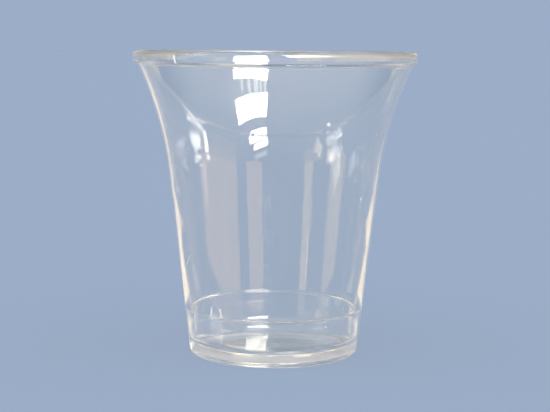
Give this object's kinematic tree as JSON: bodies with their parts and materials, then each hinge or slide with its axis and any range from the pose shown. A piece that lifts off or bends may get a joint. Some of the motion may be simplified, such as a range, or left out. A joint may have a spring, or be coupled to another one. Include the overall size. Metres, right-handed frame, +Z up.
{
  "type": "plastic disposable cup",
  "caption": "Small clear plastic cup with a tapered wall that flares to a beaded rim, a stacking ledge inside and a recessed foot.",
  "frame": {"origin": "centre of the foot, on the plane that the cup stands on", "axes": "+Z up along the cup's axis, out of its mouth; the cup is round, so X and Y are equal"},
  "size_m": [0.0326, 0.0326, 0.035],
  "materials": {
    "clear_plastic": "polished"
  },
  "bodies": {
    "root": {"cup": "clear_plastic"}
  },
  "joints": []
}
